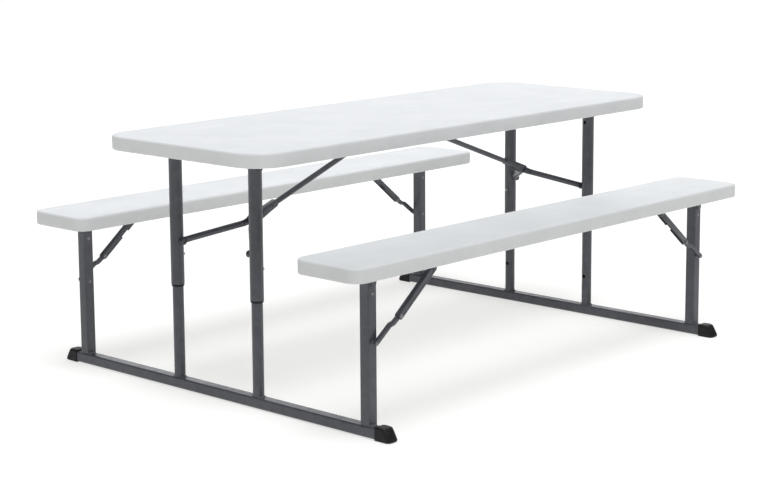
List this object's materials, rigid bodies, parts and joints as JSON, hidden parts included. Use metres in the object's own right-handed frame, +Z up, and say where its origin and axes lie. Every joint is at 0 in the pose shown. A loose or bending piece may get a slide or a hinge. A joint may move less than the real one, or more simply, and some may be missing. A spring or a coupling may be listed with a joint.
{
  "type": "folding picnic table",
  "caption": "Folding picnic table: a moulded plastic top and two attached bench seats on two steel end frames that telescope and fold flat.",
  "frame": {"origin": "on the ground at the middle of the footprint", "axes": "+X along the table, +Y across it towards the rear bench, +Z up"},
  "size_m": [1.784, 1.328, 0.73],
  "materials": {
    "slab_plastic": "white polyethylene with a fine moulded grain",
    "coated_steel": "dark grey powder coat",
    "plated_steel": "zinc plated",
    "black_plastic": "black polypropylene, satin"
  },
  "bodies": {
    "benches": {"bench_seat_front": "slab_plastic", "bench_seat_rear": "slab_plastic", "bench_hinge_plate_left_front": "coated_steel", "bench_hinge_plate_left_rear": "coated_steel", "bench_hinge_plate_right_front": "coated_steel", "bench_hinge_plate_right_rear": "coated_steel"},
    "table": {"table_top": "slab_plastic", "table_leg_bracket_left_front": "coated_steel", "table_leg_bracket_left_rear": "coated_steel", "table_leg_bracket_right_front": "coated_steel", "table_leg_bracket_right_rear": "coated_steel", "brace_anchor_left": "coated_steel", "brace_anchor_right": "coated_steel"},
    "left_frame": {"base_rail_left": "coated_steel", "foot_cap_left_front": "black_plastic", "foot_cap_left_rear": "black_plastic", "bench_leg_left_front": "coated_steel", "bench_leg_left_rear": "coated_steel", "lower_table_leg_left_front": "coated_steel", "lower_table_leg_left_rear": "coated_steel"},
    "left_upper_legs": {"upper_table_leg_left_front": "coated_steel", "upper_table_leg_left_rear": "coated_steel", "leg_collar_left_front": "black_plastic", "leg_collar_left_rear": "black_plastic"},
    "left_brace": {"brace_tube_left": "coated_steel", "brace_channel_left": "coated_steel"},
    "left_wishbone": {"elbow_pin_left": "coated_steel", "wishbone_arm_left_front": "coated_steel", "wishbone_arm_left_rear": "coated_steel"},
    "left_bench_brace": {"bench_brace_channel_left_front": "coated_steel", "bench_brace_channel_left_rear": "coated_steel"},
    "left_bench_link": {"bench_brace_link_left_front": "coated_steel", "bench_brace_link_left_rear": "coated_steel"},
    "left_front_button": {"snap_button_left_front": "plated_steel"},
    "left_rear_button": {"snap_button_left_rear": "plated_steel"},
    "right_frame": {"base_rail_right": "coated_steel", "foot_cap_right_front": "black_plastic", "foot_cap_right_rear": "black_plastic", "bench_leg_right_front": "coated_steel", "bench_leg_right_rear": "coated_steel", "lower_table_leg_right_front": "coated_steel", "lower_table_leg_right_rear": "coated_steel"},
    "right_upper_legs": {"upper_table_leg_right_front": "coated_steel", "upper_table_leg_right_rear": "coated_steel", "leg_collar_right_front": "black_plastic", "leg_collar_right_rear": "black_plastic"},
    "right_brace": {"brace_tube_right": "coated_steel", "brace_channel_right": "coated_steel"},
    "right_wishbone": {"elbow_pin_right": "coated_steel", "wishbone_arm_right_front": "coated_steel", "wishbone_arm_right_rear": "coated_steel"},
    "right_bench_brace": {"bench_brace_channel_right_front": "coated_steel", "bench_brace_channel_right_rear": "coated_steel"},
    "right_bench_link": {"bench_brace_link_right_front": "coated_steel", "bench_brace_link_right_rear": "coated_steel"},
    "right_front_button": {"snap_button_right_front": "plated_steel"},
    "right_rear_button": {"snap_button_right_rear": "plated_steel"}
  },
  "joints": [
    {"name": "table_slide", "type": "slide", "parent": "benches", "child": "table", "axis": [0, 0, -1], "range_m": [0, 0.256]},
    {"name": "fold", "type": "hinge", "parent": "benches", "child": "left_frame", "pos_m": [-0.75, 0, 0.411], "axis": [0, -1, 0], "range_deg": [0, 90]},
    {"name": "left_leg_slide", "type": "slide", "parent": "left_frame", "child": "left_upper_legs", "axis": [0, 0, -1], "range_m": [0, 0.256]},
    {"name": "left_brace_pivot", "type": "hinge", "parent": "table", "child": "left_brace", "pos_m": [-0.035, 0, 0.7], "axis": [0, 1, 0], "range_deg": [0, 19.77]},
    {"name": "left_wishbone_pivot", "type": "hinge", "parent": "left_brace", "child": "left_wishbone", "pos_m": [-0.61474, 0, 0.48248], "axis": [0, -1, 0], "range_deg": [0, 167.84]},
    {"name": "left_bench_brace_pivot", "type": "hinge", "parent": "benches", "child": "left_bench_brace", "pos_m": [-0.528, 0, 0.4174], "axis": [0, 1, 0], "range_deg": [0, 41.57]},
    {"name": "left_bench_link_pivot", "type": "hinge", "parent": "left_bench_brace", "child": "left_bench_link", "pos_m": [-0.66037, 0, 0.31089], "axis": [0, -1, 0], "range_deg": [0, 180.88]},
    {"name": "press_left_front", "type": "slide", "parent": "left_upper_legs", "child": "left_front_button", "axis": [-1, 0, 0], "range_m": [0, 0.0085], "stiffness_N_per_m": 900, "springref_m": -0.006},
    {"name": "press_left_rear", "type": "slide", "parent": "left_upper_legs", "child": "left_rear_button", "axis": [-1, 0, 0], "range_m": [0, 0.0085], "stiffness_N_per_m": 900, "springref_m": -0.006},
    {"name": "fold_right", "type": "hinge", "parent": "benches", "child": "right_frame", "pos_m": [0.75, 0, 0.411], "axis": [0, 1, 0], "range_deg": [0, 90]},
    {"name": "right_leg_slide", "type": "slide", "parent": "right_frame", "child": "right_upper_legs", "axis": [0, 0, -1], "range_m": [0, 0.256]},
    {"name": "right_brace_pivot", "type": "hinge", "parent": "table", "child": "right_brace", "pos_m": [0.035, 0, 0.7], "axis": [0, -1, 0], "range_deg": [0, 19.77]},
    {"name": "right_wishbone_pivot", "type": "hinge", "parent": "right_brace", "child": "right_wishbone", "pos_m": [0.61474, 0, 0.48248], "axis": [0, 1, 0], "range_deg": [0, 167.84]},
    {"name": "right_bench_brace_pivot", "type": "hinge", "parent": "benches", "child": "right_bench_brace", "pos_m": [0.528, 0, 0.4174], "axis": [0, -1, 0], "range_deg": [0, 41.57]},
    {"name": "right_bench_link_pivot", "type": "hinge", "parent": "right_bench_brace", "child": "right_bench_link", "pos_m": [0.66037, 0, 0.31089], "axis": [0, 1, 0], "range_deg": [0, 180.88]},
    {"name": "press_right_front", "type": "slide", "parent": "right_upper_legs", "child": "right_front_button", "axis": [1, 0, 0], "range_m": [0, 0.0085], "stiffness_N_per_m": 900, "springref_m": -0.006},
    {"name": "press_right_rear", "type": "slide", "parent": "right_upper_legs", "child": "right_rear_button", "axis": [1, 0, 0], "range_m": [0, 0.0085], "stiffness_N_per_m": 900, "springref_m": -0.006}
  ],
  "couplings": [
    {"joint": "table_slide", "follows": "fold", "m_per_rad": 0.16297},
    {"joint": "left_leg_slide", "follows": "fold", "m_per_rad": 0.16297},
    {"joint": "left_brace_pivot", "follows": "fold", "ratio": 0.21972},
    {"joint": "left_wishbone_pivot", "follows": "fold", "ratio": 1.8649},
    {"joint": "left_bench_brace_pivot", "follows": "fold", "ratio": 0.46185},
    {"joint": "left_bench_link_pivot", "follows": "fold", "ratio": 2.0098},
    {"joint": "fold_right", "follows": "fold", "ratio": 1},
    {"joint": "right_leg_slide", "follows": "fold", "m_per_rad": 0.16297},
    {"joint": "right_brace_pivot", "follows": "fold", "ratio": 0.21972},
    {"joint": "right_wishbone_pivot", "follows": "fold", "ratio": 1.8649},
    {"joint": "right_bench_brace_pivot", "follows": "fold", "ratio": 0.46185},
    {"joint": "right_bench_link_pivot", "follows": "fold", "ratio": 2.0098}
  ]
}
